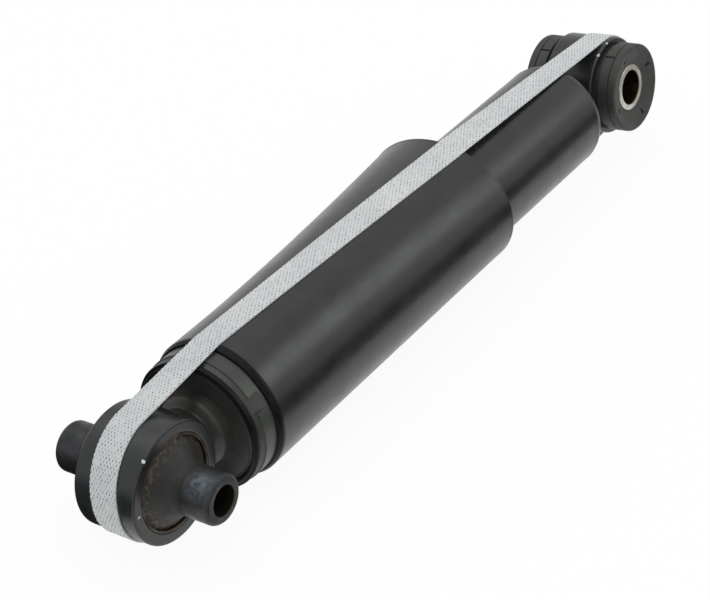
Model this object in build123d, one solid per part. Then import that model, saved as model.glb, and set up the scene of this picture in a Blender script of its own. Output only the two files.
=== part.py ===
from build123d import *
import math
import os

# Rear shock absorber of a car: a twin-tube damper with an eye at each end, a dust tube over
# the rod, and the strap that holds it short for transport.
# Millimetres. The origin is the middle of the upper eye, +X runs along the shock to the lower
# eye, the upper eye's bore lies along Y, and +Z is up as the shock lies on a floor.

# Length and travel
eye_to_eye = 338.0
stroke = 130.0
lower_eye_turn = -6.0

# Running clearances, each on the radius
rod_clearance = 0.03
band_clearance = 0.04
twist_clearance = 0.03
valve_clearance = 0.15

# How far a cutting shape stands past the face it cuts
cut_margin = 1.0

# Eye rings, the same at both ends
ring_od = 46.5
ring_wall = 3.75
ring_width = 27.0
ring_edge_round = 0.8
ring_bore_round = 0.4

# Upper bush: a rubber bonded between a thin outer shell and a long steel sleeve
upper_sleeve_od = 19.5
upper_sleeve_bore = 12.2
upper_sleeve_length = 72.0
upper_sleeve_chamfer = 1.2
bush_shell_wall = 1.1
bush_shell_proud = 0.4
bush_shell_round = 0.4
upper_rubber_recess = 0.9
upper_rubber_skirt = 8.5
upper_rubber_edge = 2.4
upper_rubber_edge_rise = 0.7
upper_rubber_waist = 3.6
upper_rubber_waist_share = 0.42
upper_rubber_lip = 0.9
sleeve_edge_round = 0.6
sleeve_edge_slope = 1.2

# Lower bush: a two-flanged rubber pressed straight into the ring
lower_sleeve_od = 21.5
lower_sleeve_bore = 16.0
lower_sleeve_length = 44.6
lower_sleeve_chamfer = 0.5
lower_rubber_taper = 0.8
lower_barrel_step = 0.3
lower_barrel_length = 5.9
lower_barrel_round = 0.4
lower_flange_step = 0.3
lower_flange_length = 2.8
lower_flange_round = 1.2
lower_groove_depth = 0.8
lower_groove_width = 0.5
face_slot_radius = 15.0
face_slot_length = 2.2
face_slot_width = 0.9
face_slot_depth = 0.7
face_slot_angle = 20.0
mould_slit_angle = 115.0
mould_slit_start = 1.0
mould_slit_width = 0.5
mould_slit_depth = 0.6

# Boss that joins the upper eye to the rod and the dust cap
boss_neck_od = 24.2
boss_base_od = 32.0
boss_height = 6.9
boss_neck_round = 0.8
boss_slope_length_share = 0.35
boss_slope_width_share = 0.75
boss_slope_round = 2.5
boss_rod_depth = 6.5
weld_reach = 1.2
weld_round = 1.0
weld_tail = 0.6

# Dust cap, a pressed cup behind the upper eye, measured in from the dust tube that it carries
cap_from_ring = 9.25
cap_sheet = 2.4
cap_band_step = 0.5
cap_shoulder_step = 0.4
cap_face_step = 4.1
cap_bead_inner = 0.5
cap_bead_outer = 0.6
cap_bead_height = 0.5
cap_bead_round = 0.2
cap_edge_drop = 0.7
cap_edge_out = 1.3
cap_brim_drop = 1.2
cap_brim_out = 2.4
cap_brim_round = 0.3
cap_shoulder_depth = 4.0
cap_shoulder_round = 0.8
cap_seat_depth = 15.0
cap_depth = 27.5
cap_rim_round = 0.5
cap_inside_round = 3.0
cap_notch_count = 3
cap_notch_angle = 149.0
cap_notch_width = 6.9
cap_notch_length = 6.0
cap_notch_depth = 1.7

# Dust tube: round at the cap, and drawn out to one side at its open end
dust_tube_od = 60.0
dust_tube_wall = 1.2
dust_tube_from_cap = 12.5
dust_tube_length = 168.5
dust_edge_round = 0.9
dust_lip_width = 2.5
dust_lip_gap = 0.2
dust_lip_round = 0.3
flare_from_start = 25.0
flare_shift = 5.0
flare_growth = 6.0
flare_power = 1.5
flare_sections = 6

# Reservoir tube and its two ends
reservoir_od = 50.0
reservoir_wall = 1.5
reservoir_from_cap = 33.5
reservoir_from_ring = 13.75
reservoir_lip = 1.6
reservoir_lip_id = 37.0
reservoir_lip_round = 0.3
reservoir_shoulder_round = 2.2
reservoir_base_chamfer = 1.0
reservoir_base_round = 0.2
base_dome_height = 13.6
base_sheet = 2.6
base_rim_length = 7.0
lower_weld_od = 25.0
lower_weld_flare = 3.0
lower_weld_slope = 2.0
lower_weld_slope_step = 0.4
lower_weld_depth = 6.0

# Pressure tube, piston and rod
pressure_tube_bore = 27.0
pressure_tube_wall = 1.5
rod_od = 12.4
rod_spigot_od = 9.9
piston_from_base_valve = 27.0
piston_length = 10.0
piston_gap = 0.15
piston_edge_round = 0.4
band_width = 4.8
band_thickness = 0.9
band_side_gap = 0.1
nut_across_flats = 16.0
nut_length = 7.0
nut_face_od = 13.0
nut_face_length = 0.8
nut_corner_chamfer = 1.0
rod_tip = 1.0
rod_tip_chamfer = 1.0

# Rod guide and seal
guide_from_start = 9.0
guide_flange_length = 9.0
guide_register_length = 8.0
guide_edge_round = 0.5
guide_slope_round = 1.0
guide_lead = 1.5
guide_bush_wall = 1.0
seal_length = 5.4
seal_flange_length = 2.0
seal_body_wall = 6.5
seal_lip_slope = 1.3
seal_lip_land = 0.4
seal_lip_groove = 1.0
retainer_bore = 15.0
retainer_edge_round = 0.4

# Valves, the same kinds of parts in the piston and in the base: a check plate over the outer
# passages, and a stack of discs under the inner ones
check_lift = 1.0
check_thickness = 0.8
check_inner_radius = 8.0
check_outer_radius = 11.6
check_seat_gap = 0.02
check_port_count = 8
check_port_od = 2.6
check_port_radius = 9.8
check_spring_sheet = 0.3
check_spring_room = 0.7
check_spring_rim = 1.0
bleed_port_count = 5
bleed_port_od = 2.0
bleed_port_radius = 6.6
bleed_port_angle = 12.0
disc_count = 3
disc_thickness = 0.3
disc_od = 16.4
disc_step = 1.0
stop_washer_od = 17.0
stop_washer_thickness = 1.5
base_valve_from_end = 16.0
base_valve_disc_length = 5.5
base_valve_flange_length = 2.5
base_skirt_od = 38.0
base_skirt_wall = 2.5
base_skirt_slots = 4
base_skirt_slot_width = 7.0
base_skirt_slot_depth = 5.0
rivet_od = 5.0
rivet_head_od = 10.0
rivet_head_thickness = 2.0
rivet_head_round = 1.0

# Rubber stops on the rod
bump_stop_od = 38.0
bump_stop_waist_od = 30.0
bump_stop_end_round = 1.5
bump_stop_lobe_round = 2.0
bump_stop_lobe_step = 1.0
bump_stop_waist_share = 0.3
bump_stop_free_gap = 0.5
rebound_stop_od = 23.0
rebound_stop_length = 11.0
rebound_stop_lead = 2.5
rebound_stop_lead_depth = 2.0
rebound_stop_round = 1.0
rebound_stop_margin = 0.5

# Transport strap
strap_width = 13.5
strap_thickness = 0.9
strap_clearance = 0.3
strap_edge_inset = 1.0
strap_offset = 2.6
strap_skew = -1.0

ring_radius = ring_od / 2
ring_bore_radius = ring_radius - ring_wall
rod_radius = rod_od / 2
cap_face_x = ring_radius + cap_from_ring
dust_radius = dust_tube_od / 2
dust_tube_start = cap_face_x + dust_tube_from_cap
dust_tube_end = dust_tube_start + dust_tube_length
flare_start = dust_tube_start + flare_from_start
reservoir_start = cap_face_x + reservoir_from_cap
reservoir_end = eye_to_eye - ring_radius - reservoir_from_ring
reservoir_radius = reservoir_od / 2
reservoir_inner_radius = reservoir_radius - reservoir_wall
retainer_start = reservoir_start + reservoir_lip
pressure_radius = pressure_tube_bore / 2
pressure_outer_radius = pressure_radius + pressure_tube_wall
cap_inside_x = cap_face_x + cap_sheet
cap_seat_radius = dust_radius - dust_tube_wall
cap_band_radius = cap_seat_radius - cap_band_step
guide_start = reservoir_start + guide_from_start
guide_register_start = guide_start + guide_flange_length
guide_end = guide_register_start + guide_register_length
rod_start = cap_face_x - boss_rod_depth
base_valve_start = reservoir_end - base_valve_from_end
piston_start = base_valve_start - piston_from_base_valve
piston_end = piston_start + piston_length
piston_radius = pressure_radius - piston_gap
piston_nut_start = piston_end + disc_count * disc_thickness
check_hub_radius = check_inner_radius - valve_clearance
check_hub_height = check_lift + check_thickness + check_spring_room
base_valve_flange_start = base_valve_start + base_valve_disc_length
base_valve_end = base_valve_flange_start + base_valve_flange_length
base_dome_radius = (reservoir_inner_radius**2 + base_dome_height**2) / (2 * base_dome_height)
base_rim_end = reservoir_end - reservoir_base_chamfer
base_dome_centre = base_rim_end + base_dome_height - base_dome_radius


def rounded_corner(before, corner, after):
    """The start, middle and end of a corner's arc, or the corner itself where it is sharp."""
    tip = Vector(corner[0], corner[1])
    rounding = corner[2]
    if rounding == 0:
        return [tip]
    back = (Vector(before[0], before[1]) - tip).normalized()
    onward = (Vector(after[0], after[1]) - tip).normalized()
    half_angle = math.radians(back.get_angle(onward)) / 2
    inward = (back + onward).normalized()
    trim = rounding / math.tan(half_angle)
    centre = tip + inward * (rounding / math.sin(half_angle))
    return [tip + back * trim, centre - inward * rounding, tip + onward * trim]


def profile(corners):
    """A closed flat outline from corners given as (along, across, rounding)."""
    count = len(corners)
    turns = []
    for index in range(count):
        turns.append(rounded_corner(corners[index - 1], corners[index], corners[(index + 1) % count]))
    edges = []
    for index, turn in enumerate(turns):
        if len(turn) == 3:
            edges.append(ThreePointArc(*turn))
        edges.append(Line(turn[-1], turns[(index + 1) % count][0]))
    return make_face(edges)


def turned(*corners):
    """Revolve an outline of (x, radius, rounding) corners about the shock axis."""
    return revolve(Plane.XZ * profile(corners), Axis.X)


def turned_on_eye(*corners):
    """Revolve an outline of (y, radius, rounding) corners about an eye's axis."""
    swapped = [(radius, along, rounding) for along, radius, rounding in corners]
    return revolve(profile(swapped), Axis.Y)


def bar(radius, start, end):
    """A round bar along the shock axis."""
    return Pos((start + end) / 2, 0, 0) * Rot(0, 90, 0) * Cylinder(radius, end - start)


def sleeve(outer, inner, start, end):
    """A plain tube along the shock axis."""
    return turned((start, inner, 0), (start, outer, 0), (end, outer, 0), (end, inner, 0))


def eye_bar(radius, length):
    """A round bar along the upper eye's axis."""
    return Rot(90, 0, 0) * Cylinder(radius, length)


def around(piece, count, first=0.0):
    """Copies of a piece at even angles about the shock axis."""
    return [Rot(first + 360 * step / count, 0, 0) * piece for step in range(count)]


def at_lower_eye(piece):
    """Move a piece made about the origin to the lower eye, turned as that eye is."""
    return Pos(eye_to_eye, 0, 0) * Rot(lower_eye_turn, 0, 0) * piece


def save(name, piece):
    export_step(piece, os.path.join("parts", name + ".step"))


def eye_ring():
    half = ring_width / 2
    return turned_on_eye(
        (-half, ring_bore_radius, ring_bore_round),
        (-half, ring_radius, ring_edge_round),
        (half, ring_radius, ring_edge_round),
        (half, ring_bore_radius, ring_bore_round),
    )


def upper_bush_shell():
    half = ring_width / 2 + bush_shell_proud
    outer = ring_bore_radius
    inner = outer - bush_shell_wall
    return turned_on_eye(
        (-half, inner, 0),
        (-half, outer, bush_shell_round),
        (half, outer, bush_shell_round),
        (half, inner, 0),
    )


def upper_bush_rubber():
    """The rubber fills the shell and climbs the sleeve at both ends as a hollow cone."""
    bore = upper_sleeve_od / 2 + twist_clearance
    outer = ring_bore_radius - bush_shell_wall
    face = ring_width / 2 - upper_rubber_recess
    top = face + upper_rubber_skirt
    side = [
        (outer, face),
        (outer - upper_rubber_edge, face + upper_rubber_edge_rise),
        (bore + upper_rubber_waist, face + upper_rubber_waist_share * upper_rubber_skirt),
        (bore + upper_rubber_lip, top),
    ]
    mirrored = [(radius, -along) for radius, along in reversed(side)]
    upper_cone = Spline(*side, tangents=[(-1, 0), (-0.08, 1)])
    lower_cone = Spline(*mirrored, tangents=[(0.08, 1), (1, 0)])
    edges = [
        upper_cone,
        Line(side[-1], (bore, top)),
        Line((bore, top), (bore, -top)),
        Line((bore, -top), mirrored[0]),
        lower_cone,
        Line(mirrored[-1], side[0]),
    ]
    return revolve(make_face(edges), Axis.Y)


def steel_sleeve(outside, bore, length, edge):
    half = length / 2
    shoulder = half - edge * sleeve_edge_slope
    return turned_on_eye(
        (-half, bore / 2, 0),
        (-half, outside / 2 - edge, 0),
        (-shoulder, outside / 2, sleeve_edge_round),
        (shoulder, outside / 2, sleeve_edge_round),
        (half, outside / 2 - edge, 0),
        (half, bore / 2, 0),
    )


def lower_bush_rubber():
    """A barrel and a flange stand out of each side of the ring, with a groove between them."""
    bore = lower_sleeve_od / 2 + twist_clearance
    core = ring_bore_radius
    barrel = core - lower_barrel_step
    flange = core + lower_flange_step
    half = ring_width / 2
    groove = half + lower_barrel_length
    face = groove + lower_groove_width + lower_flange_length
    side = [
        (half - lower_rubber_taper, core, 0),
        (half + lower_barrel_step, barrel, lower_barrel_round),
        (groove, barrel, lower_barrel_round),
        (groove, barrel - lower_groove_depth, 0),
        (groove + lower_groove_width, barrel - lower_groove_depth, 0),
        (groove + lower_groove_width, flange, lower_barrel_round),
        (face, flange, lower_flange_round),
        (face, bore, 0),
    ]
    mirrored = [(-along, radius, rounding) for along, radius, rounding in reversed(side)]
    rubber = turned_on_eye(*side, *mirrored)
    slot_middle = face + (cut_margin - face_slot_depth) / 2
    slot = Box(face_slot_length, face_slot_depth + cut_margin, face_slot_width)
    slot = Pos(face_slot_radius, slot_middle, 0) * slot
    slit_start = half + mould_slit_start
    slit_end = groove + lower_groove_width / 2
    slit = Box(2 * mould_slit_depth, slit_end - slit_start, mould_slit_width)
    slit = Pos(barrel, (slit_start + slit_end) / 2, 0) * slit
    cuts = [Rot(0, -face_slot_angle - 90 * step, 0) * slot for step in range(4)]
    cuts.append(Rot(0, -mould_slit_angle, 0) * slit)
    cuts += [mirror(cut, Plane.XZ) for cut in cuts]
    for cut in cuts:
        rubber -= cut
    return rubber


def ring_saddle():
    """The room that the upper ring takes out of what is welded to it."""
    return eye_bar(ring_radius, 2 * boss_base_od)


def upper_eye_boss():
    neck = boss_neck_od / 2
    base = boss_base_od / 2
    crest = cap_face_x - boss_height
    slope_x = crest + boss_slope_length_share * boss_height
    slope_radius = neck + boss_slope_width_share * (base - neck)
    blank = turned(
        (ring_radius / 2, 0, 0),
        (ring_radius / 2, neck, 0),
        (crest, neck, boss_neck_round),
        (slope_x, slope_radius, boss_slope_round),
        (cap_face_x, base, 0),
        (cap_face_x, rod_radius, 0),
        (rod_start, rod_radius, 0),
        (rod_start, 0, 0),
    )
    return blank - ring_saddle()


def upper_eye_weld():
    neck = boss_neck_od / 2
    reach = neck + weld_reach
    crest = cap_face_x - boss_height
    bead = turned(
        (ring_radius / 2, neck, 0),
        (ring_radius / 2, reach, 0),
        (ring_radius - weld_round, reach, weld_round),
        (crest - weld_tail, neck, 0),
    )
    return bead - ring_saddle()


def dust_cap():
    """A cup: flat face, a beaded rim, a sloping shoulder, a band, and the seat of the dust tube."""
    band = cap_band_radius
    shoulder = band - cap_shoulder_step
    face = band - cap_face_step
    inside = band - cap_sheet
    band_start = cap_face_x + cap_shoulder_depth
    seat_start = cap_face_x + cap_seat_depth
    end = cap_face_x + cap_depth
    cup = turned(
        (cap_face_x, rod_radius, 0),
        (cap_face_x, face - cap_bead_inner, cap_bead_round),
        (cap_face_x - cap_bead_height, face, cap_bead_round),
        (cap_face_x, face + cap_bead_outer, cap_bead_round),
        (cap_face_x + cap_edge_drop, face + cap_edge_out, cap_brim_round),
        (cap_face_x + cap_brim_drop, face + cap_brim_out, cap_brim_round),
        (band_start, shoulder, cap_shoulder_round),
        (band_start, band, 0),
        (seat_start, band, 0),
        (seat_start, cap_seat_radius, 0),
        (end, cap_seat_radius, cap_rim_round),
        (end, inside, 0),
        (cap_inside_x, inside, cap_inside_round),
        (cap_inside_x, rod_radius, 0),
    )
    for notch in around(cap_notch(band_start, band), cap_notch_count, cap_notch_angle - 90):
        cup -= notch
    return cup


def cap_notch(start, radius):
    """A wedge that sinks the band at its front edge and runs out along it."""
    wedge = make_face(
        Polyline(
            (start - cut_margin, radius + cut_margin),
            (start - cut_margin, radius - cap_notch_depth),
            (start, radius - cap_notch_depth),
            (start + cap_notch_length, radius),
            (start + cap_notch_length, radius + cut_margin),
            close=True,
        )
    )
    return extrude(Plane.XZ * wedge, amount=cap_notch_width / 2, both=True)


def flare_section(x, wall):
    """The dust tube's oval at x: it grows and moves towards +Y along the flare."""
    share = (x - flare_start) / (dust_tube_end - flare_start)
    drawn = share**flare_power
    oval = Ellipse(dust_radius + flare_growth * drawn - wall, dust_radius - wall)
    return Plane.YZ.offset(x) * Pos(flare_shift * drawn, 0) * oval


def flare_solid(wall):
    step = (dust_tube_end - flare_start) / (flare_sections - 1)
    return loft([flare_section(flare_start + step * index, wall) for index in range(flare_sections)])


def dust_tube():
    inner = dust_radius - dust_tube_wall
    lip = cap_band_radius + dust_lip_gap
    straight = turned(
        (dust_tube_start, lip, dust_lip_round),
        (dust_tube_start, dust_radius, dust_edge_round),
        (flare_start, dust_radius, 0),
        (flare_start, inner, 0),
        (dust_tube_start + dust_lip_width, inner, 0),
        (dust_tube_start + dust_lip_width, lip, 0),
    )
    return straight + (flare_solid(0) - flare_solid(dust_tube_wall))


def bump_stop():
    end = retainer_start - bump_stop_free_gap
    length = end - cap_inside_x
    wide = bump_stop_od / 2
    waist = bump_stop_waist_od / 2
    middle = (cap_inside_x + end) / 2
    half_waist = bump_stop_waist_share * length / 2
    return turned(
        (cap_inside_x, rod_radius, 0),
        (cap_inside_x, wide, bump_stop_end_round),
        (middle - half_waist, wide, bump_stop_lobe_round),
        (middle, waist, bump_stop_end_round),
        (middle + half_waist, wide - bump_stop_lobe_step, bump_stop_lobe_round),
        (end, waist, bump_stop_end_round),
        (end, rod_radius, 0),
    )


def piston_rod():
    shoulder = piston_start - check_hub_height - stop_washer_thickness
    tip = piston_nut_start + nut_length + rod_tip
    spigot = rod_spigot_od / 2
    return turned(
        (rod_start, 0, 0),
        (rod_start, rod_radius, 0),
        (shoulder, rod_radius, 0),
        (shoulder, spigot, 0),
        (tip - rod_tip_chamfer, spigot, 0),
        (tip, spigot - rod_tip_chamfer, 0),
        (tip, 0, 0),
    )


def rebound_stop():
    start = guide_end + stroke + rebound_stop_margin
    outer = rebound_stop_od / 2
    return turned(
        (start, rod_radius, 0),
        (start, outer - rebound_stop_lead_depth, rebound_stop_round),
        (start + rebound_stop_lead, outer, rebound_stop_round),
        (start + rebound_stop_length, outer, rebound_stop_round),
        (start + rebound_stop_length, rod_radius, 0),
    )


def passages(count, port_od, from_axis, start, end, first=0.0):
    """A circle of round passages along the shock axis, cut a little past both faces."""
    passage = Pos(0, from_axis, 0) * bar(port_od / 2, start - cut_margin, end + cut_margin)
    return around(passage, count, first)


def outer_passages(start, end):
    return passages(check_port_count, check_port_od, check_port_radius, start, end)


def inner_passages(start, end):
    return passages(bleed_port_count, bleed_port_od, bleed_port_radius, start, end, bleed_port_angle)


def piston_body():
    """The piston, with the groove of its band and a hub that guides the check plate."""
    spigot = rod_spigot_od / 2
    hub_start = piston_start - check_hub_height
    groove = pressure_radius - band_clearance - band_thickness - band_clearance
    middle = piston_start + piston_length / 2
    half_groove = band_width / 2 + band_side_gap
    body = turned(
        (hub_start, spigot, 0),
        (hub_start, check_hub_radius, 0),
        (piston_start, check_hub_radius, 0),
        (piston_start, piston_radius, piston_edge_round),
        (middle - half_groove, piston_radius, 0),
        (middle - half_groove, groove, 0),
        (middle + half_groove, groove, 0),
        (middle + half_groove, piston_radius, 0),
        (piston_end, piston_radius, piston_edge_round),
        (piston_end, spigot, 0),
    )
    for passage in outer_passages(hub_start, piston_end) + inner_passages(hub_start, piston_end):
        body -= passage
    return body


def piston_band():
    outer = pressure_radius - band_clearance
    middle = piston_start + piston_length / 2
    return sleeve(outer, outer - band_thickness, middle - band_width / 2, middle + band_width / 2)


def check_plate(seat):
    """A flat ring that lies over the outer passages, on the side towards the upper eye."""
    under = seat - check_seat_gap
    return sleeve(check_outer_radius, check_inner_radius, under - check_thickness, under)


def check_spring(seat):
    """A thin dished washer from the stop washer to the middle of the check plate."""
    back = seat - check_hub_height + check_seat_gap
    front = seat - check_thickness - 2 * check_seat_gap
    inner = check_inner_radius
    middle = (check_inner_radius + check_outer_radius) / 2
    return turned(
        (back, inner, 0),
        (back, inner + check_spring_rim, 0),
        (front - check_spring_sheet, middle, 0),
        (front, middle, 0),
        (front, middle - check_spring_rim, 0),
        (back + check_spring_sheet, inner + check_spring_rim / 2, 0),
        (back + check_spring_sheet, inner, 0),
    )


def valve_discs(start, inner):
    """Flexible steel discs, each smaller than the one before, as separate pieces."""
    stack = []
    for index in range(disc_count):
        near = start + index * disc_thickness
        stack.append(sleeve(disc_od / 2 - index * disc_step, inner, near, near + disc_thickness))
    return Compound(children=stack)


def stop_washer(seat, bore):
    """The washer that backs the check spring, with holes over the inner passages."""
    end = seat - check_hub_height
    start = end - stop_washer_thickness
    washer = sleeve(stop_washer_od / 2, bore, start, end)
    for hole in inner_passages(start, end):
        washer -= hole
    return washer


def piston_nut():
    """A hexagon nut with chamfered corners and a round face that bears on the last disc."""
    flats = nut_across_flats / 2
    corners = flats + 2 * nut_corner_chamfer
    face_end = piston_nut_start + nut_face_length
    end = piston_nut_start + nut_length
    hexagon = RegularPolygon(flats, 6, major_radius=False)
    nut = extrude(Plane.YZ.offset(piston_nut_start) * hexagon, amount=nut_length)
    blank = turned(
        (piston_nut_start, 0, 0),
        (piston_nut_start, nut_face_od / 2, 0),
        (face_end, nut_face_od / 2, 0),
        (face_end, flats, 0),
        (face_end + nut_corner_chamfer, corners, 0),
        (end - nut_corner_chamfer, corners, 0),
        (end, flats, 0),
        (end, 0, 0),
    )
    return (nut & blank) - bar(rod_spigot_od / 2, piston_nut_start, end)


def reservoir_tube():
    """The outer tube, rolled in over the seal at its upper end and chamfered at its base."""
    return turned(
        (reservoir_start, reservoir_lip_id / 2, reservoir_lip_round),
        (reservoir_start, reservoir_radius, reservoir_shoulder_round),
        (reservoir_end - reservoir_base_chamfer, reservoir_radius, reservoir_base_round),
        (reservoir_end, reservoir_radius - reservoir_base_chamfer, 0),
        (reservoir_end, reservoir_inner_radius, 0),
        (retainer_start, reservoir_inner_radius, 0),
        (retainer_start, reservoir_lip_id / 2, 0),
    )


def dome_x(radius, inset=0.0):
    """How far along the dome of the base reaches at a radius, on its face or inset into its sheet."""
    return base_dome_centre + math.sqrt((base_dome_radius - inset)**2 - radius**2)


def dome_arc(first_radius, last_radius, inset=0.0):
    middle_radius = (first_radius + last_radius) / 2
    radii = (first_radius, middle_radius, last_radius)
    return ThreePointArc(*[(dome_x(radius, inset), radius) for radius in radii])


def turned_edges(arc, *points):
    """Revolve an outline of one arc and the points that follow it back to its start."""
    path = [arc @ 1, *points, arc @ 0]
    return revolve(Plane.XZ * make_face([arc, Polyline(*path)]), Axis.X)


def base_cap():
    """A pressed dish that closes the reservoir, domed towards the lower eye."""
    start = base_rim_end - base_rim_length
    inside = reservoir_inner_radius - base_sheet
    dish = revolve(
        Plane.XZ * make_face([
            dome_arc(reservoir_inner_radius, 0),
            Line((dome_x(0), 0), (dome_x(0, base_sheet), 0)),
            dome_arc(0, inside, base_sheet),
            Polyline(
                (dome_x(inside, base_sheet), inside),
                (start, inside),
                (start, reservoir_inner_radius),
                (base_rim_end, reservoir_inner_radius),
            ),
        ]),
        Axis.X,
    )
    return dish


def lower_eye_weld():
    """The collar of weld between the base's dome and the lower ring."""
    waist = lower_weld_od / 2
    root = waist + lower_weld_flare
    inside_ring = eye_to_eye - ring_radius + lower_weld_depth
    collar = turned_edges(
        dome_arc(0, root),
        (dome_x(root) + lower_weld_slope, waist + lower_weld_slope_step),
        (inside_ring, waist),
        (inside_ring, 0),
    )
    return collar - at_lower_eye(ring_saddle())


def pressure_tube():
    return sleeve(pressure_outer_radius, pressure_radius, guide_register_start, base_valve_flange_start)


def rod_guide():
    bush = rod_radius + rod_clearance + guide_bush_wall
    return turned(
        (guide_start, bush, 0),
        (guide_start, reservoir_inner_radius, guide_edge_round),
        (guide_start + guide_flange_length / 2, reservoir_inner_radius, guide_slope_round),
        (guide_register_start, pressure_outer_radius, 0),
        (guide_register_start, pressure_radius, 0),
        (guide_end, pressure_radius, guide_edge_round),
        (guide_end, bush + guide_lead, 0),
        (guide_end - guide_lead, bush, 0),
    )


def guide_bush():
    inner = rod_radius + rod_clearance
    return sleeve(inner + guide_bush_wall, inner, guide_start, guide_end - guide_lead)


def rod_seal():
    """A rubber ring with two lips on the rod."""
    lip = rod_radius + rod_clearance
    start = guide_start - seal_length
    middle = guide_start - seal_length / 2
    land_near = seal_lip_slope
    land_far = seal_lip_slope + seal_lip_land
    return turned(
        (start, lip + seal_lip_slope, 0),
        (start, reservoir_inner_radius, 0),
        (start + seal_flange_length, reservoir_inner_radius, 0),
        (start + seal_flange_length, lip + seal_body_wall, 0),
        (guide_start, lip + seal_body_wall, 0),
        (guide_start, lip + seal_lip_slope, 0),
        (guide_start - land_near, lip, 0),
        (guide_start - land_far, lip, 0),
        (middle, lip + seal_lip_groove, 0),
        (start + land_far, lip, 0),
        (start + land_near, lip, 0),
    )


def seal_retainer():
    return turned(
        (retainer_start, retainer_bore / 2, retainer_edge_round),
        (retainer_start, reservoir_inner_radius, 0),
        (guide_start - seal_length, reservoir_inner_radius, 0),
        (guide_start - seal_length, retainer_bore / 2, 0),
    )


def base_valve_body():
    """A disc in the pressure tube, on a slotted skirt that stands on the base's dish."""
    hub_start = base_valve_start - check_hub_height
    skirt = base_skirt_od / 2
    head = turned(
        (hub_start, rivet_od / 2, 0),
        (hub_start, check_hub_radius, 0),
        (base_valve_start, check_hub_radius, 0),
        (base_valve_start, pressure_radius, piston_edge_round),
        (base_valve_flange_start, pressure_radius, 0),
        (base_valve_flange_start, skirt, piston_edge_round),
        (base_valve_end, skirt, 0),
        (base_valve_end, rivet_od / 2, 0),
    )
    foot = turned_edges(
        dome_arc(skirt - base_skirt_wall, skirt, base_sheet),
        (base_valve_end, skirt),
        (base_valve_end, skirt - base_skirt_wall),
    )
    body = head + foot
    slot_middle = base_valve_end + base_skirt_slot_depth / 2
    slot = Box(base_skirt_slot_depth, 4 * base_skirt_wall, base_skirt_slot_width)
    cuts = around(Pos(slot_middle, skirt, 0) * slot, base_skirt_slots)
    cuts += outer_passages(hub_start, base_valve_end)
    cuts += inner_passages(hub_start, base_valve_end)
    for cut in cuts:
        body -= cut
    return body


def base_rivet():
    """Holds the stop washer above the base valve and the discs below it."""
    shank = rivet_od / 2
    head = rivet_head_od / 2
    top = base_valve_start - check_hub_height - stop_washer_thickness
    bottom = base_valve_end + disc_count * disc_thickness
    return turned(
        (top - rivet_head_thickness, 0, 0),
        (top - rivet_head_thickness, head, rivet_head_round),
        (top, head, 0),
        (top, shank, 0),
        (bottom, shank, 0),
        (bottom, head, 0),
        (bottom + rivet_head_thickness, head, rivet_head_round),
        (bottom + rivet_head_thickness, 0, 0),
    )


def strap_lower_lift():
    """How much the turned lower ring stands up under the strap's outer edge."""
    reach = abs(strap_offset + eye_to_eye * math.sin(math.radians(strap_skew))) + strap_width / 2
    turn = math.radians(abs(lower_eye_turn))
    return reach * math.tan(turn) + ring_radius * (1 / math.cos(turn) - 1)


def strap_outline(grow):
    """The taut outline round both rings and the dust tube's four edges, at one distance from them."""
    upper = Circle(ring_radius + grow)
    lower = Pos(eye_to_eye, 0) * Circle(ring_radius + strap_lower_lift() + grow)
    corners = [
        Pos(x, side * dust_radius) * Circle(grow)
        for x in (dust_tube_start + strap_edge_inset, dust_tube_end)
        for side in (-1, 1)
    ]
    return make_hull([edge for shape in [upper, lower] + corners for edge in shape.edges()])


def transport_strap():
    band = strap_outline(strap_clearance + strap_thickness) - strap_outline(strap_clearance)
    loop = extrude(Plane.XZ * band, amount=strap_width / 2, both=True)
    return Pos(0, strap_offset, 0) * Rot(0, 0, strap_skew) * loop


def main():
    os.makedirs("parts", exist_ok=True)
    upper_sleeve = steel_sleeve(
        upper_sleeve_od, upper_sleeve_bore, upper_sleeve_length, upper_sleeve_chamfer
    )
    lower_sleeve = steel_sleeve(
        lower_sleeve_od, lower_sleeve_bore, lower_sleeve_length, lower_sleeve_chamfer
    )

    save("upper_eye_ring", eye_ring())
    save("upper_bush_shell", upper_bush_shell())
    save("upper_bush_rubber", upper_bush_rubber())
    save("upper_inner_sleeve", upper_sleeve)
    save("upper_eye_boss", upper_eye_boss())
    save("upper_eye_weld", upper_eye_weld())
    save("dust_cap", dust_cap())
    save("dust_tube", dust_tube())
    save("bump_stop", bump_stop())
    save("piston_rod", piston_rod())
    save("rebound_stop", rebound_stop())
    save("piston_stop_washer", stop_washer(piston_start, rod_spigot_od / 2))
    save("piston_body", piston_body())
    save("piston_band", piston_band())
    save("piston_check_plate", check_plate(piston_start))
    save("piston_check_spring", check_spring(piston_start))
    save("rebound_valve_discs", valve_discs(piston_end, rod_spigot_od / 2))
    save("piston_nut", piston_nut())

    save("reservoir_tube", reservoir_tube())
    save("base_cap", base_cap())
    save("lower_eye_weld", lower_eye_weld())
    save("lower_eye_ring", at_lower_eye(eye_ring()))
    save("lower_bush_rubber", at_lower_eye(lower_bush_rubber()))
    save("lower_inner_sleeve", at_lower_eye(lower_sleeve))
    save("pressure_tube", pressure_tube())
    save("rod_guide", rod_guide())
    save("guide_bush", guide_bush())
    save("rod_seal", rod_seal())
    save("seal_retainer", seal_retainer())
    save("base_valve_body", base_valve_body())
    save("base_check_plate", check_plate(base_valve_start))
    save("base_check_spring", check_spring(base_valve_start))
    save("base_stop_washer", stop_washer(base_valve_start, rivet_od / 2))
    save("base_rivet", base_rivet())
    save("base_valve_discs", valve_discs(base_valve_end, rivet_od / 2))
    save("transport_strap", transport_strap())


main()
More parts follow.
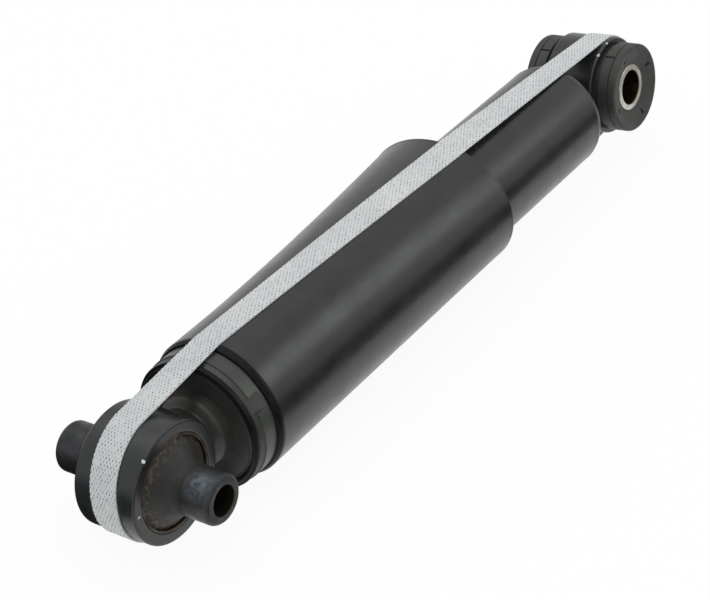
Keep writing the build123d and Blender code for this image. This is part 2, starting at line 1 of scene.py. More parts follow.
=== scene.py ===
# %% [markdown]
# A rear shock absorber of a car, as it comes out of its box: two steel tubes in black enamel, an
# eye with a rubber bush at each end, and a woven strap that keeps the gas inside from pushing the
# rod out. The solids are already made to size. This script gives them their finish, adds what a
# solid can't show well, and sets them up to be looked at.
#
# The solids come in as a fixed frame. One unit is a metre, and nothing is moved to fit.

# %% Load the solids
import math

import bmesh
import bpy
from mathutils import Matrix, Quaternion, Vector


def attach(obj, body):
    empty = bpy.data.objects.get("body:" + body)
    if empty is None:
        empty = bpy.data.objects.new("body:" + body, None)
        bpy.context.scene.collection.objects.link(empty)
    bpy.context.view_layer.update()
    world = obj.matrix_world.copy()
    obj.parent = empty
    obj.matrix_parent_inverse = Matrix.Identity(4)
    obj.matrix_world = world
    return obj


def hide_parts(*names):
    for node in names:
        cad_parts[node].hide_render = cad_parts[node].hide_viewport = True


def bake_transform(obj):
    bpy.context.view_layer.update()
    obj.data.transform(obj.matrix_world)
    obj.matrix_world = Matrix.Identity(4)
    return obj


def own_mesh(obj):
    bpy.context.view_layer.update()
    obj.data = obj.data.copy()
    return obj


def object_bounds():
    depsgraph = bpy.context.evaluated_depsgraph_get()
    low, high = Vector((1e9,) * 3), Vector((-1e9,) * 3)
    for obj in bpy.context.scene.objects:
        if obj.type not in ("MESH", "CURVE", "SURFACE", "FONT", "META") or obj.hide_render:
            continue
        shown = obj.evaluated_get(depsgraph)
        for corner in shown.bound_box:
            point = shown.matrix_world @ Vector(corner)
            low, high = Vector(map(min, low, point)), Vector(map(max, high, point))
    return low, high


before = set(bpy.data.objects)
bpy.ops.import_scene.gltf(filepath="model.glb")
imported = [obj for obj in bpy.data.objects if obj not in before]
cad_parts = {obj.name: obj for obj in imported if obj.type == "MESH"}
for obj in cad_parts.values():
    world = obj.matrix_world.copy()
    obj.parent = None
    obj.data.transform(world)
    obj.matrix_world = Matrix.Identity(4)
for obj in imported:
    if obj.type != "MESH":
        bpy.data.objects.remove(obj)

mm = 0.001
solid_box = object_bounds()
solid_corners = [round(v / mm, 1) for v in (*solid_box[0], *solid_box[1])]
print("nodes", len(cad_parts), "box in mm", solid_corners)

# %% [markdown]
# Several cells below share a few sizes, so they are written once here, in millimetres. The middle
# of the near eye is the origin, and the shock runs along X from it to the far eye, which is turned
# a little about that line. The dust tube is round at the near eye's end and drawn out to one side
# at its mouth, and the last two sizes say by how much.

# %% Shared sizes
far_eye_x = 338.0
far_eye_turn = math.radians(-6.0)
near_ring_radius = 24.3
far_ring_radius = 22.4
ring_bore_radius = 19.5
near_sleeve_bore = 6.1
far_sleeve_bore = 8.0
tube_radius = 30.0
tube_far_edge = 213.5
flare_shift = 5.0
flare_growth = 6.0
print("eye to eye", far_eye_x, "mm, rings", 2 * near_ring_radius, "and", 2 * far_ring_radius)

# %% [markdown]
# The camera comes first, because the size of a weave or a speck only makes sense at the distance
# it is seen from. The photograph looks down on the near eye with a long lens, so the far eye
# hardly shrinks. A camera in Blender looks along its own -Z, and `to_track_quat` turns that axis
# to a direction. A small roll about the line of sight comes after it.

# %% Camera
camera_place = Vector((-0.46804, -0.45505, 0.48523))
look_along = Vector((0.67115, 0.50434, -0.54333))
camera_roll = math.radians(-5.54)

camera_data = bpy.data.cameras.new("camera")
camera_data.sensor_width = 36
camera_data.lens = 111.33
camera = bpy.data.objects.new("camera", camera_data)
bpy.context.scene.collection.objects.link(camera)
camera.location = camera_place
camera.rotation_mode = "QUATERNION"
rolled = Quaternion((0, 0, 1), camera_roll)
camera.rotation_quaternion = look_along.to_track_quat("-Z", "Y") @ rolled
bpy.context.scene.camera = camera
print("camera", round(camera_place.length, 3), "m from the near eye")

# %% [markdown]
# Materials are built from shader nodes. A few helpers keep the cells below short. The first turns
# a hex colour, as a paint chart gives it, into the linear values that light is added up in. The
# second adds any one node, sets its options, and fills or links its inputs. The others start a
# material, link an output to its shader, and lay a colour over the one that it has.

# %% Helpers for materials
def hex_colour(code):
    """Linear red, green, blue and alpha of an sRGB hex colour."""
    channels = [int(code[start:start + 2], 16) / 255 for start in (1, 3, 5)]
    linear = [c / 12.92 if c <= 0.04045 else ((c + 0.055) / 1.055) ** 2.4 for c in channels]
    return (*linear, 1.0)


def add_node(material, kind, inputs=None, **settings):
    """Adds a node to a material. An input is a value, or the socket to link it to."""
    node = material.node_tree.nodes.new(kind)
    for name, value in settings.items():
        setattr(node, name, value)
    for name, value in (inputs or {}).items():
        if isinstance(value, bpy.types.NodeSocket):
            material.node_tree.links.new(value, node.inputs[name])
        else:
            node.inputs[name].default_value = value
    return node


def new_material(name, constants):
    """A material with one principled shader, and the constants set on its sockets."""
    material = bpy.data.materials.new(name)
    material.use_nodes = True
    shader = material.node_tree.nodes["Principled BSDF"]
    for socket, value in constants.items():
        shader.inputs[socket].default_value = value
    return material, shader


def join(material, output, shader, socket):
    """Links an output to one of the shader's sockets."""
    material.node_tree.links.new(output, shader.inputs[socket])


def stain(material, shader, mask, code):
    """Lays a hex colour over the material's colour, as far as the mask is 1."""
    base = shader.inputs["Base Color"]
    under = base.links[0].from_socket if base.is_linked else tuple(base.default_value)
    # A mix node has its colours at inputs 6 and 7, and their mixture at output 2.
    inputs = {0: mask, 6: under, 7: hex_colour(code)}
    over = add_node(material, "ShaderNodeMix", inputs, data_type="RGBA").outputs[2]
    join(material, over, shader, "Base Color")


print("black enamel starts from", [round(c, 4) for c in hex_colour("#191A19")])

# %% [markdown]
# Most finishes here share three small facts: colour drifts a little over centimetres, the gloss
# drifts with it, and a fine texture catches the light. These functions lay them down from sizes in
# millimetres, on object coordinates, so that every pattern keeps its real size. Others mark what is
# near a line or a point, such as rust in a bore or a painted highlight on an edge.

# %% Shared unevenness
def per_metre(size_mm):
    """The scale of a pattern whose marks are this many millimetres across."""
    return 1 / (size_mm * mm)


def noise(material, size_mm, detail=3.0, roughness=0.5):
    """Soft noise on object coordinates, from 0 to 1, with marks of about size_mm."""
    place = add_node(material, "ShaderNodeTexCoord")
    return add_node(material, "ShaderNodeTexNoise", {
        "Vector": place.outputs["Object"],
        "Scale": per_metre(size_mm),
        "Detail": detail,
        "Roughness": roughness,
    }).outputs["Fac"]


def patches(material, size_mm, low, high, start=0.0, end=1.0, detail=3.0, roughness=0.5):
    """Noise whose values from low to high are spread from start to end, and stay inside that."""
    return add_node(material, "ShaderNodeMapRange", {
        "Value": noise(material, size_mm, detail, roughness),
        "From Min": low, "From Max": high, "To Min": start, "To Max": end,
    }).outputs["Result"]


def grain(material, shader, size_mm, depth_mm, strength):
    """Bends the light as a fine relief of this size and depth would."""
    relief = add_node(material, "ShaderNodeBump", {
        "Height": noise(material, size_mm), "Distance": depth_mm * mm, "Strength": strength,
    })
    join(material, relief.outputs["Normal"], shader, "Normal")


def distance_from(material, place, axis=None):
    """How far each point is from a place, or from a line through the place, in metres."""
    here = add_node(material, "ShaderNodeTexCoord").outputs["Object"]
    reach = add_node(material, "ShaderNodeVectorMath", {0: here, 1: place}, operation="SUBTRACT")
    if axis is not None:
        inputs = {0: reach.outputs[0], 1: axis}
        reach = add_node(material, "ShaderNodeVectorMath", inputs, operation="CROSS_PRODUCT")
    inputs = {0: reach.outputs[0]}
    return add_node(material, "ShaderNodeVectorMath", inputs, operation="LENGTH").outputs["Value"]


def around(material, place, full_mm, gone_mm, axis=None):
    """1 at full_mm from a place or a line, and 0 at gone_mm. Either may be the larger."""
    return add_node(material, "ShaderNodeMapRange", {
        "Value": distance_from(material, place, axis),
        "From Min": full_mm * mm, "From Max": gone_mm * mm, "To Min": 1.0, "To Max": 0.0,
    }).outputs["Result"]


def spots(material, places, radius_mm):
    """1 inside a ragged spot at each place, 0 outside them."""
    radius = radius_mm * mm
    nearest = distance_from(material, places[0])
    for place in places[1:]:
        inputs = {0: nearest, 1: distance_from(material, place)}
        nearest = add_node(material, "ShaderNodeMath", inputs, operation="MINIMUM").outputs[0]
    ragged = patches(material, 0.7, 0.3, 0.7, -0.5 * radius, 0.5 * radius)
    edge = add_node(material, "ShaderNodeMath", {0: nearest, 1: ragged}, operation="ADD")
    return add_node(material, "ShaderNodeMapRange", {
        "Value": edge.outputs[0],
        "From Min": 0.8 * radius, "From Max": radius, "To Min": 1.0, "To Max": 0.0,
    }).outputs["Result"]


print("a pattern of 1 mm has the scale", per_metre(1.0))

# %% [markdown]
# Black enamel, dipped and baked over the steel. The eye sees a dark grey that is mostly the
# reflection of the room, softened by a fine orange peel of about 1 mm. Dust that was baked in
# shows as grey specks of half a millimetre. Each ring has two small bright glints painted on the
# edge that looks at the camera, as painted highlights. The dust cap is duller than the tubes, and
# its greyer colour is painted light for the lit band on it. The rolled rims get the darkest and
# least shiny copy of the enamel, as painted shade.

# %% Black enamel
peel_depth_mm = 0.012
# Painted highlights: two bright glints on each ring's edge that looks at the camera.
glint_radius_mm = 0.8
near_ring_glints = ((-0.0143, -0.0135, 0.0192), (-0.0218, -0.0135, -0.0007))
far_ring_glints = ((0.3281, -0.0102, 0.0213), (0.3365, -0.0100, 0.0235))


def black_enamel(name, dark, light, roughness, peel_mm, painted_glints=(), shine=0.5):
    material, shader = new_material(
        name, {"IOR": 1.5, "Specular IOR Level": shine, "Base Color": hex_colour(dark)}
    )
    stain(material, shader, patches(material, 14.0, 0.35, 0.65), light)
    stain(material, shader, patches(material, 0.5, 0.70, 0.76, detail=1.0), "#3B3D3B")
    # Painted highlights: bright glints at the given places.
    if painted_glints:
        stain(material, shader, spots(material, painted_glints, glint_radius_mm), "#C9CBC9")
    sheen = patches(material, 9.0, 0.3, 0.7, roughness - 0.03, roughness + 0.04)
    join(material, sheen, shader, "Roughness")
    grain(material, shader, peel_mm, peel_depth_mm, 0.35)
    return material


tube_enamel = black_enamel("black_enamel_tube", "#191A19", "#202220", 0.29, 1.1)
eye_enamel = black_enamel(
    "black_enamel_eye", "#191B1C", "#232526", 0.32, 0.9, painted_glints=near_ring_glints + far_ring_glints
)
# Painted light: a greyer copy of the black enamel stands for the light on the dust cap's band.
lit_collar_enamel = black_enamel("black_enamel_collar_painted_light", "#2A2C2A", "#343733", 0.40, 1.4)
boss_enamel = black_enamel("black_enamel_boss", "#232321", "#34312B", 0.42, 0.9)
# Painted shade: the darkest, least shiny copy of the enamel, for rolled rims that lie in shade.
shaded_rim_enamel = black_enamel("black_enamel_rim_painted_shade", "#0B0B0B", "#121312", 0.34, 1.0, shine=0.12)
enamels = (tube_enamel, eye_enamel, lit_collar_enamel, boss_enamel, shaded_rim_enamel)
print("enamels", *[enamel.name for enamel in enamels])

# %% [markdown]
# Moulded rubber scatters light widely and holds dust. The grain that its mould leaves is too fine
# for the picture, so it is drawn at about 0.6 mm. In the upper eye, brown rust and dirt lie in
# spots round the foot of the cone, against the steel shell. The lower bush has drier, greyer dust.
# The seal of nitrile rubber and the stop of foamed polyurethane hide inside.

# %% Rubber
dirt_starts_mm = 13.5
dirt_full_mm = 17.5


def moulded_rubber(name, dark, light, dust, dust_share, grain_mm):
    material, shader = new_material(name, {"IOR": 1.5, "Base Color": hex_colour(dark)})
    stain(material, shader, patches(material, 6.0, 0.3, 0.7), light)
    dust_from, dust_full = 1 - dust_share, 1.05 - 0.5 * dust_share
    cloud = patches(material, 4.0, dust_from, dust_full, 0.0, 0.6, detail=6.0)
    stain(material, shader, cloud, dust)
    join(material, patches(material, 3.0, 0.3, 0.7, 0.5, 0.68), shader, "Roughness")
    grain(material, shader, grain_mm, 0.05, 0.4)
    return material, shader


upper_rubber, upper_shader = moulded_rubber(
    "moulded_rubber_upper", "#151514", "#1D1C1B", "#2C2820", 0.3, 0.7
)
cone_foot = around(upper_rubber, (0, 0, 0), dirt_full_mm, dirt_starts_mm, axis=(0, 1, 0))
mottle = patches(upper_rubber, 1.8, 0.47, 0.62, detail=5.0, roughness=0.65)
foot_masks = {0: cone_foot, 1: mottle}
foot_dirt = add_node(upper_rubber, "ShaderNodeMath", foot_masks, operation="MULTIPLY")
stain(upper_rubber, upper_shader, foot_dirt.outputs[0], "#54472F")
lower_rubber = moulded_rubber("moulded_rubber_lower", "#2B2B29", "#383836", "#4B4236", 0.38, 0.6)[0]
seal_rubber = moulded_rubber("nitrile_rubber", "#161616", "#1E1E1E", "#2A2824", 0.2, 0.5)[0]
stop_rubber = moulded_rubber("foamed_polyurethane", "#8A7A55", "#A3916A", "#6E6040", 0.3, 0.8)[0]
print("rubbers", upper_rubber.name, lower_rubber.name, seal_rubber.name, stop_rubber.name)

# %% [markdown]
# The bare metals: a dark phosphated sleeve with a blue-grey painted highlight on its upper front, a
# bright zinc-plated one, both with a rusty bore, and the oiled shell round the upper rubber. The
# steels, the chrome, the sintered iron and the bronze lie inside and only show when the rod is
# drawn out. Crystals and grinding marks are drawn at about half a millimetre, which is coarser than
# they are. Metallic surfaces keep Blender's IOR, because their colour sets how much they reflect.

# %% Metals
highlight_place = (-0.0055, -0.0294, 0.0082)
highlight_core_mm = 1.0
highlight_reach_mm = 7.0


def metal(name, dark, light, roughness, grain_mm, depth_mm=0.01, metallic=1.0):
    material, shader = new_material(name, {"Metallic": metallic, "Base Color": hex_colour(dark)})
    stain(material, shader, patches(material, 5.0, 0.35, 0.65, detail=4.0), light)
    dull, bright = roughness + 0.06, roughness - 0.04
    sheen = patches(material, 5.0, 0.35, 0.65, dull, bright, detail=4.0)
    join(material, sheen, shader, "Roughness")
    grain(material, shader, grain_mm, depth_mm, 0.4)
    return material, shader


phosphated_steel, phosphated_shader = metal(
    "phosphated_steel", "#333435", "#3F4042", 0.44, 0.6, metallic=0.75
)
# A painted highlight: a lighter blue-grey patch on the sleeve's upper front, broken up by noise.
painted_highlight = around(phosphated_steel, highlight_place, highlight_core_mm, highlight_reach_mm)
highlight_breakup = patches(phosphated_steel, 2.2, 0.35, 0.65, 0.1, 1.0, detail=4.0)
highlight_masks = {0: painted_highlight, 1: highlight_breakup}
highlight_patch = add_node(phosphated_steel, "ShaderNodeMath", highlight_masks, operation="MULTIPLY")
stain(phosphated_steel, phosphated_shader, highlight_patch.outputs[0], "#656E77")
near_bore = around(
    phosphated_steel, (0, 0, 0), near_sleeve_bore + 0.2, near_sleeve_bore + 0.5, axis=(0, 1, 0)
)
stain(phosphated_steel, phosphated_shader, near_bore, "#302820")

zinc_steel, zinc_shader = metal("zinc_plated_steel", "#B3B0A6", "#D2CFC6", 0.34, 0.4)
far_axis = (0, math.cos(far_eye_turn), math.sin(far_eye_turn))
far_bore = around(
    zinc_steel, (far_eye_x * mm, 0, 0), far_sleeve_bore + 0.1, far_sleeve_bore + 0.5, axis=far_axis
)
stain(zinc_steel, zinc_shader, far_bore, "#6E6454")

drawn_steel = metal("drawn_steel", "#7B7D80", "#97999C", 0.32, 0.8)[0]
shell_steel = metal("oiled_shell_steel", "#29241E", "#52463A", 0.5, 0.8, metallic=0.6)[0]
hard_chrome = metal("hard_chrome", "#C9CBCE", "#D6D8DA", 0.08, 0.5, 0.002)[0]
spring_steel = metal("blued_spring_steel", "#5D6169", "#747984", 0.28, 0.6)[0]
sintered_iron = metal("sintered_iron", "#4A4A4B", "#626262", 0.55, 0.25, 0.05)[0]
bush_bronze = metal("bronze_bearing_strip", "#8C6A3C", "#A98450", 0.35, 0.4)[0]
print("steels", *[each.name for each in bpy.data.materials if "steel" in each.name])

# %% [markdown]
# The piston's band slides on oil. It is a bearing plastic with short fibres in it, which show as a
# fine brown mottle that stands a little proud.

# %% Filled plastic of the piston's band
def bearing_plastic():
    material, shader = new_material(
        "filled_bearing_plastic",
        {"IOR": 1.38, "Roughness": 0.45, "Base Color": hex_colour("#57503F")},
    )
    fibre = patches(material, 0.6, 0.3, 0.7, detail=4.0)
    stain(material, shader, fibre, "#7A715B")
    relief = {"Height": fibre, "Distance": 0.02 * mm, "Strength": 0.4}
    proud = add_node(material, "ShaderNodeBump", relief).outputs["Normal"]
    join(material, proud, shader, "Normal")
    return material


band_plastic = bearing_plastic()
print("band", band_plastic.name)

# %% [markdown]
# Each solid now gets its finish. A CAD solid's mesh is never changed; only the material in its
# slot is.

# %% Dress the solids
finishes = {
    "upper_eye_ring": eye_enamel,
    "upper_bush_shell": shell_steel,
    "upper_bush_rubber": upper_rubber,
    "upper_inner_sleeve": phosphated_steel,
    "upper_eye_boss": boss_enamel,
    "upper_eye_weld": boss_enamel,
    "dust_cap": lit_collar_enamel,
    "dust_tube": tube_enamel,
    "bump_stop": stop_rubber,
    "piston_rod": hard_chrome,
    "rebound_stop": seal_rubber,
    "piston_stop_washer": drawn_steel,
    "piston_body": sintered_iron,
    "piston_band": band_plastic,
    "piston_check_plate": spring_steel,
    "piston_check_spring": spring_steel,
    "rebound_valve_discs": spring_steel,
    "piston_nut": drawn_steel,
    "reservoir_tube": tube_enamel,
    "base_cap": tube_enamel,
    "lower_eye_weld": tube_enamel,
    "lower_eye_ring": eye_enamel,
    "lower_bush_rubber": lower_rubber,
    "lower_inner_sleeve": zinc_steel,
    "pressure_tube": drawn_steel,
    "rod_guide": sintered_iron,
    "guide_bush": bush_bronze,
    "rod_seal": seal_rubber,
    "seal_retainer": drawn_steel,
    "base_valve_body": sintered_iron,
    "base_check_plate": spring_steel,
    "base_check_spring": spring_steel,
    "base_stop_washer": drawn_steel,
    "base_rivet": drawn_steel,
    "base_valve_discs": spring_steel,
}
for node, finish in finishes.items():
    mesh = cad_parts[node].data
    mesh.materials.clear()
    mesh.materials.append(finish)
print("dressed", len(finishes), "solids")

# %% [markdown]
# Some turned pieces show more in the photograph than their solids do: the rings are rounded by
# their press, the lower rubber is dished and slotted, and the cap has a rolled rim. Each is spun
# here from its section, as (along, radius, rounding) corners in millimetres. Spinning a closed
# outline right round and merging its ends gives a closed mesh. Bevelling the hoops that came from
# one corner then rounds that corner.

# %% Spin an outline
spin_steps = 240
bevel_segments = 5
sharp_from = math.radians(32)
hoop_tolerance = 0.01 * mm


def is_on_hoop(edge, along, radius):
    return all(
        abs(vert.co.y - along * mm) < hoop_tolerance
        and abs(math.hypot(vert.co.x, vert.co.z) - radius * mm) < hoop_tolerance
        for vert in edge.verts
    )


def spun(corners):
    """A closed mesh turned about the Y axis."""
    bm = bmesh.new()
    outline = [bm.verts.new((radius * mm, along * mm, 0)) for along, radius, _ in corners]
    edges = [bm.edges.new((outline[index - 1], vert)) for index, vert in enumerate(outline)]
    bmesh.ops.spin(
        bm, geom=outline + edges, axis=(0, 1, 0), angle=2 * math.pi,
        steps=spin_steps, use_merge=True,
    )
    for along, radius, rounding in corners:
        if rounding:
            hoop = [edge for edge in bm.edges if is_on_hoop(edge, along, radius)]
            bmesh.ops.bevel(
                bm, geom=hoop, offset=rounding * mm, segments=bevel_segments, profile=0.5,
                affect="EDGES", material=-1,
            )
    bmesh.ops.recalc_face_normals(bm, faces=bm.faces)
    return bm


def finish_piece(name, bm, turn, place, body, slot, material, *nodes):
    """Puts a mesh in its place, smooths its shading, and hides the solids it stands for."""
    moved = Matrix.Translation(Vector(place) * mm) @ turn
    bmesh.ops.transform(bm, matrix=moved, verts=bm.verts)
    for face in bm.faces:
        face.smooth = True
    mesh = bpy.data.meshes.new(name)
    bm.to_mesh(mesh)
    bm.free()
    mesh.set_sharp_from_angle(angle=sharp_from)
    mesh.materials.append(material)
    piece = bpy.data.objects.new(name, mesh)
    bpy.context.scene.collection.objects.link(piece)
    piece.modifiers.new("even_shading", "WEIGHTED_NORMAL").keep_sharp = True
    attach(piece, body)
    if nodes:
        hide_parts(*nodes)
    return piece


upright = Matrix.Identity(4)
along_shock = Matrix.Rotation(math.radians(-90), 4, "Z")
near_eye_place = (0, 0, 0)
far_eye_place = (far_eye_x, 0, 0)
far_eye_tilt = Matrix.Rotation(far_eye_turn, 4, "X")
print("spin in", spin_steps, "steps")

# %% Eye rings
near_ring_half_width = 14.0
far_ring_half_width = 12.4
outer_rounding = 1.0
bore_rounding = 0.6


def ring_section(half_width, radius):
    """Pressed rings are rounded more at the outside than in the bore."""
    return (
        (-half_width, ring_bore_radius, bore_rounding), (-half_width, radius, outer_rounding),
        (half_width, radius, outer_rounding), (half_width, ring_bore_radius, bore_rounding),
    )


near_ring = finish_piece(
    "near_eye_ring", spun(ring_section(near_ring_half_width, near_ring_radius)),
    upright, near_eye_place, "rod_assembly", "black_paint", eye_enamel, "upper_eye_ring",
)
far_ring = finish_piece(
    "far_eye_ring", spun(ring_section(far_ring_half_width, far_ring_radius)),
    far_eye_tilt, far_eye_place, "reservoir", "black_paint", eye_enamel, "lower_eye_ring",
)
print("ring faces", len(near_ring.data.polygons))

# %% [markdown]
# The upper rubber runs out thinly along the sleeve, so that no edge shows where it ends. Its
# section is a curve that drops steeply from the shell and ends almost parallel to the sleeve. The
# power sets how hollow that curve is.

# %% Upper rubber
near_sleeve_radius = 10.1
cone_foot_at, cone_top_at = 12.6, 23.4
cone_foot_radius, cone_top_radius = 18.4, 10.2
cone_power = 2.3
cone_steps = 16
cone_clearance = 0.03


def upper_cone():
    """The cone's curve, from the shell out to its thin edge on the sleeve, and its mirror."""
    curve = []
    for step in range(cone_steps + 1):
        share = step / cone_steps
        along = cone_foot_at + (cone_top_at - cone_foot_at) * share
        drop = (cone_foot_radius - cone_top_radius) * (1 - share) ** cone_power
        curve.append((along, cone_top_radius + drop, 0))
    mirrored = [(-along, radius, 0) for along, radius, _ in reversed(curve)]
    bore = near_sleeve_radius + cone_clearance
    return spun(curve + [(cone_top_at, bore, 0), (-cone_top_at, bore, 0)] + mirrored)


near_rubber = finish_piece(
    "near_bush_rubber", upper_cone(), upright, near_eye_place,
    "rod_assembly", "upper_rubber", upper_rubber, "upper_bush_rubber",
)
print("upper rubber faces", len(near_rubber.data.polygons))

# %% Upper sleeve
near_sleeve_end = 36.0
chamfer_length = 1.3
chamfer_drop = 1.2


def upper_sleeve():
    """A tube whose ends are turned down to a chamfer with soft edges."""
    half = [
        (near_sleeve_end - chamfer_length, near_sleeve_radius, 0.8),
        (near_sleeve_end, near_sleeve_radius - chamfer_drop, 0.3),
        (near_sleeve_end, near_sleeve_bore, 0.2),
    ]
    mirrored = [(-along, radius, rounding) for along, radius, rounding in reversed(half)]
    return spun(mirrored + half)


near_sleeve = finish_piece(
    "near_inner_sleeve", upper_sleeve(), upright, near_eye_place,
    "upper_sleeve", "sleeve_steel", phosphated_steel, "upper_inner_sleeve",
)
print("upper sleeve faces", len(near_sleeve.data.polygons))

# %% [markdown]
# The lower rubber stands out of each side of its ring as a barrel, with a narrow groove and then a
# flange whose face is dished. The face has four pressed slots, and the barrel has the slit where
# the mould parted. The faces inside each mark are picked by their angle and pushed in.

# %% Lower bush
bush_radius = 20.4
neck_radius = 18.6
neck_near, neck_far = 12.5, 14.6
groove_radius = 19.8
groove_near, groove_far = 19.6, 19.95
bush_face = 23.9
dish_bottom = 21.0
bush_bore = 10.85
slot_angles = (20.0, 110.0, 200.0, 290.0)
slot_inner, slot_outer = 14.4, 16.8
slot_half_width = 0.85
slot_depth = 0.8
slit_angle = math.radians(114.0)
slit_half_width = 0.3
slit_depth = 0.7


def angle_from(point, middle):
    """How far a point is turned from a direction round the bush, in radians."""
    return math.remainder(math.atan2(point.z, point.x) - middle, 2 * math.pi)


def press(bm, is_marked, depth, direction):
    """Pushes the marked faces in, and leaves walls round them."""
    marked = [face for face in bm.faces if is_marked(face.calc_center_median() / mm)]
    pushed = bmesh.ops.extrude_face_region(bm, geom=marked)
    bmesh.ops.delete(bm, geom=marked, context="FACES")
    for vert in pushed["geom"]:
        if isinstance(vert, bmesh.types.BMVert):
            vert.co += direction(vert.co) * depth * mm


def lower_bush():
    core_radius = ring_bore_radius - 0.1
    inside_ring = [(0.0, core_radius, 0), (neck_near - 0.2, core_radius, 0)]
    neck = [(neck_near, neck_radius, 0), (neck_far, neck_radius, 0)]
    barrel = [(neck_far, bush_radius, 0.5), (groove_near, bush_radius, 0.3)]
    groove = [(groove_near, groove_radius, 0), (groove_far, groove_radius, 0)]
    flange = [(groove_far, bush_radius, 0.3), (bush_face, bush_radius, 1.3)]
    dish = [
        (bush_face - 0.8, slot_outer, 0), (bush_face - 1.8, slot_inner, 0),
        (dish_bottom + 0.2, 12.0, 0), (dish_bottom, bush_bore, 0),
    ]
    half = inside_ring + neck + barrel + groove + flange + dish
    mirrored = [(-along, radius, rounding) for along, radius, rounding in reversed(half[1:])]
    bm = spun(half + mirrored)
    for side in (-1, 1):
        for degrees in slot_angles:
            middle = math.radians(degrees)

            def in_slot(point):
                reach = math.hypot(point.x, point.z)
                is_narrow = abs(angle_from(point, middle)) * reach < slot_half_width
                is_face = side * point.y > dish_bottom + 0.5
                return is_face and is_narrow and slot_inner < reach < slot_outer

            press(bm, in_slot, slot_depth, lambda _: Vector((0, -side, 0)))

        def in_slit(point):
            is_outside = math.hypot(point.x, point.z) > bush_radius - 0.1
            is_narrow = abs(angle_from(point, slit_angle)) * bush_radius < slit_half_width
            is_barrel = neck_far + 0.3 < side * point.y < groove_near - 0.1
            return is_narrow and is_outside and is_barrel

        press(bm, in_slit, slit_depth, lambda co: -Vector((co.x, 0, co.z)).normalized())
    return bm


far_bush = finish_piece(
    "far_bush_rubber", lower_bush(), far_eye_tilt, far_eye_place,
    "reservoir", "lower_rubber", lower_rubber, "lower_bush_rubber",
)
print("lower bush faces", len(far_bush.data.polygons))

# %% Lower sleeve
far_sleeve_end = 21.3
far_sleeve_radius = 10.75
far_sleeve_section = (
    (-far_sleeve_end, far_sleeve_bore, 0.3), (-far_sleeve_end, far_sleeve_radius, 0.4),
    (far_sleeve_end, far_sleeve_radius, 0.4), (far_sleeve_end, far_sleeve_bore, 0.3),
)
far_sleeve = finish_piece(
    "far_inner_sleeve", spun(far_sleeve_section), far_eye_tilt, far_eye_place,
    "lower_sleeve", "zinc_steel", zinc_steel, "lower_inner_sleeve",
)
print("lower sleeve faces", len(far_sleeve.data.polygons))

# %% [markdown]
# Four rolled edges lie along the shock: the dust cap's rim, with a ridge on its face and a round
# edge outside it, the dust tube's lip, the edge of the reservoir's base, and the dust tube's mouth.
# They are spun about the long axis, and the mouth is then widened to one side. The corners of each
# section follow its outline once round.

# %% Rolled edges
rim_ridge, rim_face, rim_back = 31.1, 31.5, 34.2
rim_inner, rim_outer = 24.9, 28.0
rim_section = (
    (33.4, rim_inner, 0), (31.9, 25.1, 0.2), (rim_ridge, 25.8, 0.2), (rim_ridge, 26.3, 0.2),
    (rim_face, 26.7, 0.3), (rim_face, rim_outer, 0.7), (33.6, rim_outer, 0.5),
    (rim_back, 27.3, 0), (rim_back, rim_inner, 0),
)
# The cap's rim and the tube's lip take the painted-shade enamel.
cap_rim = finish_piece(
    "dust_cap_rim", spun(rim_section), along_shock, near_eye_place,
    "rod_assembly", "black_paint", shaded_rim_enamel,
)
lip_front, lip_back = 43.3, 46.4
lip_inner, lip_outer = 28.4, tube_radius + 0.04
lip_section = (
    (lip_front, lip_inner, 0), (lip_front + 0.2, 29.2, 0.3), (45.0, lip_outer, 0.4),
    (lip_back, lip_outer, 0), (lip_back, lip_inner, 0),
)
tube_lip = finish_piece(
    "dust_tube_lip", spun(lip_section), along_shock, near_eye_place,
    "rod_assembly", "black_paint", shaded_rim_enamel,
)
base_start, base_end = 299.0, 303.4
base_inner, base_outer = 22.6, 25.1
base_section = (
    (base_start, base_outer - 0.08, 0), (300.2, base_outer, 0.8), (base_end - 0.2, 24.3, 0.6),
    (base_end, base_inner, 0.4), (base_start, base_inner, 0),
)
base_edge = finish_piece(
    "reservoir_base_edge", spun(base_section), along_shock, near_eye_place,
    "reservoir", "black_paint", eye_enamel,
)


def tube_mouth():
    """The dust tube's far edge: a spun lip, widened to the oval that the tube ends in."""
    back, front = tube_far_edge - 1.1, tube_far_edge + 0.2
    outside, inside = tube_radius + 0.03, tube_radius - 1.2
    bm = spun((
        (back, outside, 0), (front, outside, 0.5), (front, inside, 0.4), (back, inside, 0),
    ))
    bmesh.ops.scale(bm, vec=(1 + flare_growth / tube_radius, 1, 1), verts=bm.verts)
    return bm


mouth_edge = finish_piece(
    "dust_tube_mouth", tube_mouth(), along_shock, (0, flare_shift, 0),
    "rod_assembly", "black_paint", tube_enamel,
)
print("rolled edges", cap_rim.name, tube_lip.name, base_edge.name, mouth_edge.name)

# %% [markdown]
# A dished washer presses each check plate on its seat. It flattens as the plate lifts, which is
# what squashing a piece along one axis shows. Its back and its front are measured from the seat.

# %% Check springs
spring_back = 2.48
spring_front = 0.84
spring_sheet = 0.3
spring_inner, spring_outer = 8.0, 9.8
squashed_share = 0.37


def dished_washer(seat):
    back, front = seat - spring_back, seat - spring_front
    return spun((
        (back, spring_inner, 0), (back, 9.0, 0), (front - spring_sheet, spring_outer, 0),
        (front, spring_outer, 0), (front, 8.8, 0), (back + spring_sheet, 8.5, 0),
        (back + spring_sheet, spring_inner, 0),
    ))


